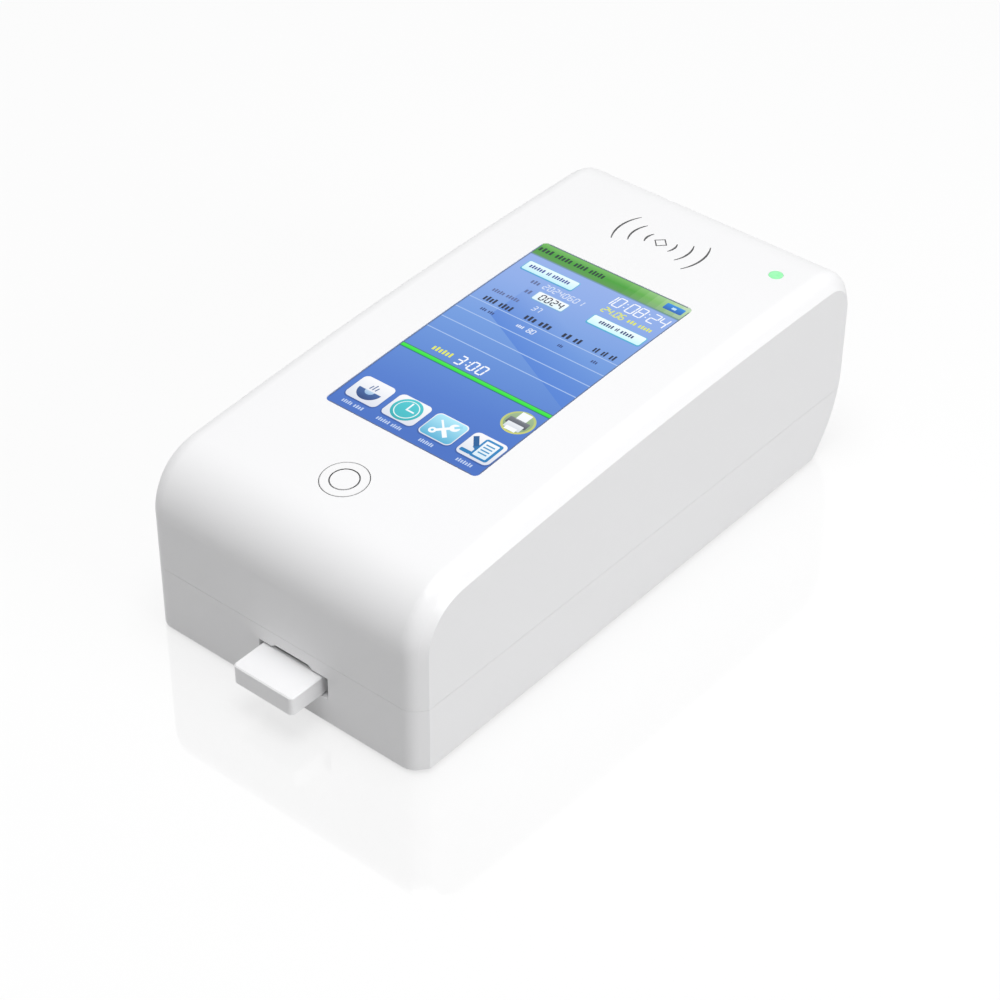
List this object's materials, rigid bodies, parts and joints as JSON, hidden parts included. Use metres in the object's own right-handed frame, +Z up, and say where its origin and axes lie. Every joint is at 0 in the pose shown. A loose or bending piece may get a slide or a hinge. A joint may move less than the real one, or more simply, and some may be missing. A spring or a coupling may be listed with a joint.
{
  "type": "rapid test reader",
  "caption": "Portable reader for lateral-flow test cards: white case with a sloped display top, one round button and a narrow card drawer at the front.",
  "frame": {"origin": "under the middle of the whole reader, drawer nose included, on the table", "axes": "+X right, +Y rearwards (the drawer comes out towards -Y), +Z up"},
  "size_m": [0.098, 0.2066, 0.0647],
  "materials": {
    "white_shell": "white moulded plastic, satin to semi-gloss",
    "white_tray": "white moulded plastic",
    "white_button": "white moulded plastic with a fine grey ring",
    "display_lens": "clear lens over a lit blue display",
    "green_lens": "translucent green",
    "foot_rubber": "dark rubber",
    "port_panel": "dark grey moulded plastic",
    "black_plastic": "black moulded plastic",
    "black_gloss": "black glossy plastic",
    "bright_steel": "plated steel",
    "stage_metal": "plain sheet and cast metal",
    "bearing_bronze": "sintered bronze",
    "circuit_board": "green circuit board",
    "clear_glass": "optical glass",
    "cell_wrap": "blue shrink wrap"
  },
  "bodies": {
    "case": {"bottom_cover": "white_shell", "top_cover": "white_shell", "display_glass": "display_lens", "light_pipe": "green_lens", "feet": "foot_rubber", "rear_panel": "port_panel", "dc_jack": "black_plastic", "usb_port": "bright_steel", "rocker_frame": "black_plastic", "lcd_module": "bright_steel", "lcd_bracket": "bright_steel", "main_board": "circuit_board", "buzzer": "black_plastic", "button_switch": "black_plastic", "button_board": "circuit_board", "led_board": "circuit_board", "antenna_board": "circuit_board", "board_screws": "bright_steel", "small_board_screws": "bright_steel", "stage_frame": "stage_metal", "guide_rod_left": "bright_steel", "guide_rod_right": "bright_steel", "screw_bush": "bearing_bronze", "stepper_motor": "stage_metal", "home_sensor": "black_plastic", "head_bridge": "stage_metal", "optics_housing": "black_plastic", "objective_lens": "clear_glass", "dichroic_mirror": "clear_glass", "emission_filter": "clear_glass", "excitation_filter": "clear_glass", "emitter": "circuit_board", "sensor_board": "circuit_board", "battery_cells": "cell_wrap", "battery_cradle": "black_plastic", "port_board": "circuit_board", "case_screws": "bright_steel", "stage_screws": "bright_steel", "motor_screws": "bright_steel"},
    "drawer": {"tray": "white_tray", "carriage": "black_plastic", "carriage_bushes": "bearing_bronze", "lead_nut": "bearing_bronze", "sensor_flag": "black_plastic", "tray_screws": "bright_steel"},
    "spindle": {"lead_screw": "bright_steel"},
    "button": {"button_cap": "white_button", "switch_plunger": "black_plastic"},
    "power_rocker": {"rocker": "black_gloss"}
  },
  "joints": [
    {"name": "tray_slide", "type": "slide", "parent": "case", "child": "drawer", "axis": [0, -1, 0], "range_m": [-0.0115, 0.062]},
    {"name": "screw_spin", "type": "hinge", "parent": "case", "child": "spindle", "pos_m": [0.0205, 0, 0.01325], "axis": [0, 1, 0], "range_deg": [-700, 3730]},
    {"name": "button_press", "type": "slide", "parent": "case", "child": "button", "axis": [0, 0.0809, -0.9967], "range_m": [0, 0.0006], "stiffness_N_per_m": 800, "springref_m": -0.0005},
    {"name": "rocker_tilt", "type": "hinge", "parent": "case", "child": "power_rocker", "pos_m": [-0.022, 0.0977, 0.0395], "axis": [0, 0, 1], "range_deg": [0, 16]}
  ],
  "couplings": [
    {"joint": "screw_spin", "follows": "tray_slide", "rad_per_m": 1047.2}
  ]
}
